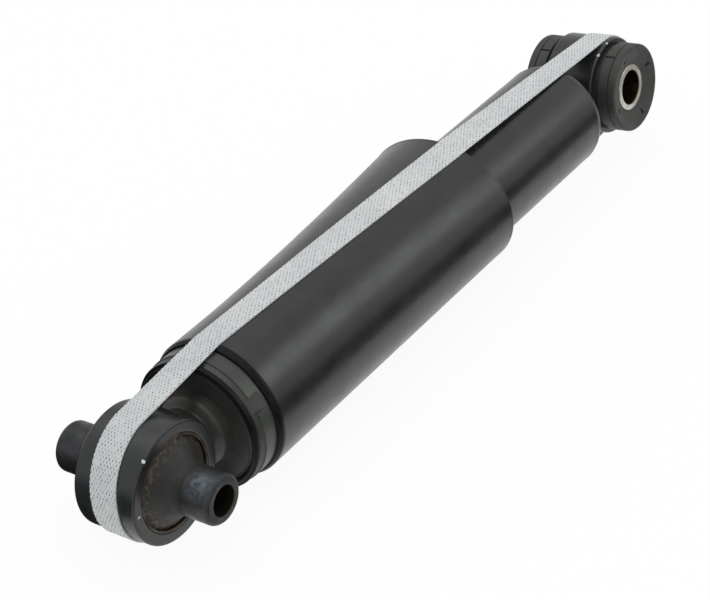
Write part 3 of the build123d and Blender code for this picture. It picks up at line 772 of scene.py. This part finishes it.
for name, seat, body, joint in (
    ("piston_check_spring", 258.0, "rod_assembly", "piston_check_lift"),
    ("base_check_spring", 285.0, "reservoir", "base_check_lift"),
):
    washer = finish_piece(
        name + "_washer", dished_washer(seat), along_shock, near_eye_place,
        body, "spring_steel", spring_steel, name,
    )
    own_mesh(washer)
flattened = (spring_back - spring_front) * (1 - squashed_share)
print("check springs flatten by", round(flattened, 2), "mm")

# %% [markdown]
# The strap is a flat polyester webbing, woven about 12 mm wide. It is modelled directly, as a
# grid laid along the taut path round both eyes. Walking along the path, it goes round the near
# eye, straight to the edge of the dust tube, along the tube, straight to the far eye and round it.
# Every column of the grid finds its own taut line, so the strap twists a little by itself where
# the far eye is turned. Seen from above, the strap lies a little askew, so its middle line has an
# offset in Y at each of a few places along the shock, on the top and on the underside.

# %% The strap's path
tube_near_edge = 46.0
flare_start = 70.0
flare_power = 1.5
strap_width = 12.0
strap_thickness = 0.7
strap_lift = 0.05 + strap_thickness / 2
near_front_offset = -0.9
top_centres = ((0.0, 2.3), (25.0, 2.6), (65.0, 1.6), (208.0, -2.4), (far_eye_x, -2.0))
bottom_centres = ((0.0, -0.5), (far_eye_x, -3.0))
far_top_offset = -4.5
far_middle_offset = -2.5
far_bottom_offset = -0.5
seam_x = 255.0


def strap_centre(side, x):
    """The strap's middle line across the shock, in mm, on the top (1) or the underside (-1)."""
    points = top_centres if side > 0 else bottom_centres
    for (x0, y0), (x1, y1) in zip(points, points[1:]):
        if x <= x1:
            share = max(0.0, (x - x0) / (x1 - x0))
            return y0 + (y1 - y0) * share
    return points[-1][1]


def tube_height(x, y):
    """How far the dust tube stands from the axis at x, y. Its open end is drawn out to one side."""
    drawn = max(0.0, (x - flare_start) / (tube_far_edge - flare_start)) ** flare_power
    share = (y - flare_shift * drawn) / (tube_radius + flare_growth * drawn)
    return tube_radius * math.sqrt(1 - share * share) + strap_lift


def tangent_angle(reach, height, radius):
    """Where a taut line from a point at (reach, height) touches a circle round the origin."""
    return math.atan2(height, reach) + math.acos(radius / math.hypot(reach, height))


def far_ring_point(side, across, angle, turned_share):
    """A point of the strap on the far eye, at an angle from its outermost point."""
    edge_offset = far_top_offset if side > 0 else far_bottom_offset
    offset = far_middle_offset + (edge_offset - far_middle_offset) * turned_share
    radius = far_ring_radius + strap_lift
    flat = Vector((radius * math.cos(angle), offset + across, side * radius * math.sin(angle)))
    return Vector((far_eye_x, 0, 0)) + Matrix.Rotation(far_eye_turn, 3, "X") @ flat


def near_ring_point(side, across, angle, touch_angle):
    """A point of the strap on the near eye. It runs a little askew from the front to the top."""
    askew = (math.pi - angle) / (math.pi - touch_angle)
    offset = near_front_offset + (strap_centre(side, 0) - near_front_offset) * askew
    radius = near_ring_radius + strap_lift
    return Vector((radius * math.cos(angle), offset + across, side * radius * math.sin(angle)))


def stretches(side, across):
    """The corners of one column's path and the lengths between them, on one side of the shock."""
    y_near = strap_centre(side, tube_near_edge) + across
    y_far = strap_centre(side, tube_far_edge) + across
    near_edge = Vector((tube_near_edge, y_near, side * tube_height(tube_near_edge, y_near)))
    far_edge = Vector((tube_far_edge, y_far, side * tube_height(tube_far_edge, y_far)))
    near_angle = tangent_angle(near_edge.x, abs(near_edge.z), near_ring_radius + strap_lift)
    far_angle = tangent_angle(far_eye_x - far_edge.x, abs(far_edge.z), far_ring_radius + strap_lift)
    near_touch = near_ring_point(side, across, near_angle, near_angle)
    far_touch = far_ring_point(side, across, math.pi - far_angle, 1.0)
    return near_angle, near_touch, near_edge, far_edge, far_touch, math.pi - far_angle


def middle_lengths(side):
    """Lengths of the five stretches along the strap's middle line."""
    near_angle, near_touch, near_edge, far_edge, far_touch, far_angle = stretches(side, 0.0)
    return [
        (near_ring_radius + strap_lift) * (math.pi - near_angle),
        (near_edge - near_touch).length,
        (far_edge - near_edge).length,
        (far_touch - far_edge).length,
        (far_ring_radius + strap_lift) * far_angle,
    ]


strap_lengths = {side: middle_lengths(side) for side in (1, -1)}
loop_length = sum(strap_lengths[1]) + sum(strap_lengths[-1])
print("strap loop", round(loop_length), "mm long,", strap_width, "mm wide")

# %% Place a point on the strap
def strap_point(side, run, across):
    """The strap's middle surface at a run in mm from the near eye's outermost point."""
    near_angle, near_touch, near_edge, far_edge, far_touch, far_angle = stretches(side, across)
    arc, near_span, tube, far_span, far_arc = strap_lengths[side]
    if run <= arc:
        angle = math.pi - (math.pi - near_angle) * run / arc
        return near_ring_point(side, across, angle, near_angle)
    run -= arc
    if run <= near_span:
        return near_touch.lerp(near_edge, run / near_span)
    run -= near_span
    if run <= tube:
        x = near_edge.x + (far_edge.x - near_edge.x) * run / tube
        y = strap_centre(side, x) + across
        return Vector((x, y, side * tube_height(x, y)))
    run -= tube
    if run <= far_span:
        return far_edge.lerp(far_touch, run / far_span)
    share = max(0.0, 1 - (run - far_span) / far_arc)
    return far_ring_point(side, across, far_angle * share, share)


def run_to_seam(side):
    """How far along its path the strap reaches the line where its two halves meet."""
    arc, near_span, tube, far_span, _ = strap_lengths[side]
    _, _, _, far_edge, far_touch, _ = stretches(side, 0.0)
    return arc + near_span + tube + far_span * (seam_x - far_edge.x) / (far_touch.x - far_edge.x)


print("seam at", round(run_to_seam(1), 1), "mm on top and", round(run_to_seam(-1), 1), "mm below")

# %% [markdown]
# The weave itself: each yarn passes over and under the next, so the surface rises and falls in a
# chequer with a pitch of about 1.9 mm, and the outer yarns turn back as small teeth. A grid whose
# lines are half a pitch apart is just fine enough to carry that relief as real shape. The grid is
# also given its UV map in millimetres, so that the material can follow the same yarns.
#
# The strap crosses two joints: the slide and the turn of the rod. A bending piece can cross only
# one, so there are two halves, which meet at a seam above the bare tube. The near half runs from
# that seam round the near eye and back to it, and the far half round the far eye.

# %% Weave the two halves
weave_pitch = 1.9
weave_relief = 0.035
edge_tooth = 0.14
columns = 12


def woven_half(name, start, end, place):
    """A grid laid from start to end of a run in mm, through place(run, across)."""
    rows = 2 * round((end - start) / weave_pitch)
    bm = bmesh.new()
    uv = bm.loops.layers.uv.new("weave")
    bmesh.ops.create_grid(bm, x_segments=rows, y_segments=columns, size=0.5)
    flat = {}
    for vert in bm.verts:
        run = start + (vert.co.x + 0.5) * (end - start)
        across = vert.co.y * strap_width
        flat[vert] = (run, across)
    for face in bm.faces:
        for loop in face.loops:
            loop[uv].uv = flat[loop.vert]
    heights = {}
    for vert, (run, across) in flat.items():
        row = round((run - start) / (end - start) * rows)
        column = round((across / strap_width + 0.5) * columns)
        over = 1 if (row + column) % 2 == 0 else -1
        tooth = edge_tooth * (row % 2) if column in (0, columns) else 0.0
        vert.co = place(run, across - math.copysign(tooth, across)) * mm
        heights[vert] = over * weave_relief * mm
    bm.normal_update()
    for vert, height in heights.items():
        vert.co += vert.normal * height
    mesh = bpy.data.meshes.new(name)
    bm.to_mesh(mesh)
    bm.free()
    piece = bpy.data.objects.new(name, mesh)
    bpy.context.scene.collection.objects.link(piece)
    thick = piece.modifiers.new("webbing", "SOLIDIFY")
    thick.thickness = strap_thickness * mm
    thick.offset = 0
    return piece


def near_place(run, across):
    """The run starts at the near eye's outermost point, and is negative along the underside."""
    return strap_point(1 if run >= 0 else -1, abs(run), across)


def far_place(run, across):
    """The run goes on from the top, round the far eye, and back along the underside."""
    top_length = sum(strap_lengths[1])
    if run <= top_length:
        return strap_point(1, run, across)
    return strap_point(-1, sum(strap_lengths[-1]) - (run - top_length), across)


near_strap = woven_half("strap_near_half", -run_to_seam(-1), run_to_seam(1), near_place)
far_start = run_to_seam(1)
far_end = loop_length - run_to_seam(-1)
far_strap = woven_half("strap_far_half", far_start, far_end, far_place)
print("strap faces", len(near_strap.data.polygons), "and", len(far_strap.data.polygons))

# %% [markdown]
# White polyester yarn is slightly see-through and hardly shines. Between the crossings the light
# is lost, which draws short dark dashes in staggered columns. The yarns themselves are too fine for
# the picture, so the dashes are drawn as coarse as they show there, about 2.7 mm apart along the
# strap and 1.5 mm across it. They follow the UV map, so they stay on the yarns when it stretches.

# %% Webbing
dash_pitch_along = 2.7
dash_pitch_across = 1.5


def polyester_webbing():
    material, shader = new_material("woven_polyester_webbing", {
        "Base Color": hex_colour("#BDC1C4"), "IOR": 1.5, "Roughness": 0.62,
        "Sheen Weight": 0.15, "Sheen Roughness": 0.4,
        "Subsurface Weight": 0.5, "Subsurface Scale": 1.2 * mm,
        "Subsurface Radius": (1.0, 1.0, 1.0),
    })
    stain(material, shader, patches(material, 20.0, 0.3, 0.7), "#CCCECD")
    weave = add_node(material, "ShaderNodeUVMap", uv_map="weave").outputs["UV"]
    apart = add_node(material, "ShaderNodeSeparateXYZ", {0: weave})
    waves = []
    for axis, pitch in (("X", dash_pitch_along), ("Y", dash_pitch_across)):
        inputs = {0: apart.outputs[axis], 1: 2 * math.pi / pitch}
        turns = add_node(material, "ShaderNodeMath", inputs, operation="MULTIPLY").outputs[0]
        wave = add_node(material, "ShaderNodeMath", {0: turns}, operation="SINE")
        waves.append(wave.outputs[0])
    inputs = {0: waves[0], 1: waves[1]}
    crossing = add_node(material, "ShaderNodeMath", inputs, operation="MULTIPLY").outputs[0]
    dash = add_node(material, "ShaderNodeMapRange", {
        "Value": crossing, "From Min": 0.1, "From Max": 0.75,
        "To Min": 0.0, "To Max": patches(material, 1.7, 0.38, 0.6, 0.1, 1.0),
    })
    stain(material, shader, dash.outputs["Result"], "#6E7274")
    relief = {"Height": crossing, "Distance": -0.05 * mm, "Strength": 0.6}
    sunk = add_node(material, "ShaderNodeBump", relief).outputs["Normal"]
    join(material, sunk, shader, "Normal")
    return material


webbing = polyester_webbing()
for half in (near_strap, far_strap):
    half.data.materials.append(webbing)
    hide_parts("transport_strap")
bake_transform(near_strap)
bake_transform(far_strap)
print("strap halves bend at", seam_x, "mm")

# %% [markdown]
# The stage is a white sweep. The floor is white paper that really receives the light, so that the
# shock's shadow lies on it, and the camera also sees a little glow in it that lifts it to white.
# The world beyond is plain white to the eye.

# %% Floor and world
floor_glow = 0.93
floor_half_size = 4.0
surround = 0.8


def white_floor():
    material, shader = new_material(
        "white_paper_floor", {"Roughness": 0.9, "Base Color": hex_colour("#F4F4F4")}
    )
    tree = material.node_tree
    rays = add_node(material, "ShaderNodeLightPath").outputs
    seen = rays["Is Camera Ray"]
    for other in ("Is Glossy Ray", "Is Transmission Ray"):
        inputs = {0: seen, 1: rays[other]}
        seen = add_node(material, "ShaderNodeMath", inputs, operation="MAXIMUM").outputs[0]
    inputs = {0: seen, 1: floor_glow}
    share = add_node(material, "ShaderNodeMath", inputs, operation="MULTIPLY").outputs[0]
    white = {"Color": hex_colour("#FFFFFF"), "Strength": 1.0}
    glow = add_node(material, "ShaderNodeEmission", white).outputs[0]
    mixed = add_node(material, "ShaderNodeMixShader", {0: share, 1: shader.outputs[0], 2: glow})
    tree.links.new(mixed.outputs[0], tree.nodes["Material Output"].inputs["Surface"])
    return material


def make_floor():
    bm = bmesh.new()
    bmesh.ops.create_grid(bm, x_segments=4, y_segments=4, size=floor_half_size)
    bmesh.ops.translate(bm, vec=(0, 0, solid_box[0].z), verts=bm.verts)
    mesh = bpy.data.meshes.new("floor")
    bm.to_mesh(mesh)
    bm.free()
    mesh.materials.append(white_floor())
    floor = bpy.data.objects.new("floor", mesh)
    bpy.context.scene.collection.objects.link(floor)


make_floor()
world = bpy.data.worlds.new("white_surround")
bpy.context.scene.world = world
world.use_nodes = True
camera_ray = add_node(world, "ShaderNodeLightPath").outputs["Is Camera Ray"]
level = add_node(world, "ShaderNodeMapRange", {
    "Value": camera_ray, "From Min": 0.0, "From Max": 1.0, "To Min": surround, "To Max": 1.0,
}).outputs["Result"]
world.node_tree.nodes["Background"].inputs["Color"].default_value = hex_colour("#FFFFFF")
world.node_tree.links.new(level, world.node_tree.nodes["Background"].inputs["Strength"])
print("floor at", round(solid_box[0].z / mm, 1), "mm")

# %% [markdown]
# Two soft lamps: a wide one overhead, and a low one to the right whose broad reflection runs along
# both tubes. Black enamel shows the room more than its own colour, so what it needs most is
# something dark to mirror. A black card lies on the floor to the right, seen only in reflections,
# and draws the dark line between the two bright ones. A second one, behind the near eye, darkens
# the faces that look back past it. That is how such tubes are photographed.

# %% Lamps and dark cards
def soft_lamp(name, place, aim, width, height, brightness, colour=(1, 1, 1)):
    """An area lamp of a given surface brightness, turned to face a point."""
    data = bpy.data.lights.new(name, "AREA")
    data.color = colour
    data.shape = "RECTANGLE"
    data.size = width
    data.size_y = height
    data.energy = brightness * math.pi * width * height
    lamp = bpy.data.objects.new(name, data)
    lamp.location = place
    lamp.rotation_mode = "QUATERNION"
    lamp.rotation_quaternion = (Vector(aim) - Vector(place)).to_track_quat("-Z", "Y")
    bpy.context.scene.collection.objects.link(lamp)
    return lamp


middle = (0.17, 0.0, 0.0)
overhead = soft_lamp(
    "overhead_lamp", (0.1, 0.1, 1.3), middle, width=1.4, height=1.4, brightness=0.9
)
side_lamp = soft_lamp(
    "side_lamp", (0.92, -0.92, 0.66), middle, width=0.8, height=0.5, brightness=1.75,
    colour=(0.93, 1.0, 0.94),
)

card_lift = 1 * mm
card_paper, _ = new_material(
    "black_card_paper", {"Base Color": hex_colour("#050505"), "Roughness": 1.0}
)


def dark_card(name, low, high):
    """A sheet of black card on the floor between two corners (x, y), in metres."""
    bm = bmesh.new()
    bmesh.ops.create_grid(bm, x_segments=1, y_segments=1, size=0.5)
    bmesh.ops.scale(bm, vec=(high[0] - low[0], high[1] - low[1], 1), verts=bm.verts)
    centre = ((low[0] + high[0]) / 2, (low[1] + high[1]) / 2, solid_box[0].z + card_lift)
    bmesh.ops.translate(bm, vec=centre, verts=bm.verts)
    mesh = bpy.data.meshes.new(name)
    bm.to_mesh(mesh)
    bm.free()
    mesh.materials.append(card_paper)
    card = bpy.data.objects.new(name, mesh)
    bpy.context.scene.collection.objects.link(card)
    card.visible_camera = False
    card.visible_diffuse = False
    card.visible_shadow = False
    card.visible_transmission = False
    return card


right_card = dark_card("right_card", (-0.3, -0.61), (1.3, -0.08))
left_card = dark_card("left_card", (-0.5, 0.015), (0.03, 0.45))
print("lamps", overhead.name, side_lamp.name, "and", right_card.name, left_card.name)

bpy.context.scene.view_settings.view_transform = "Standard"
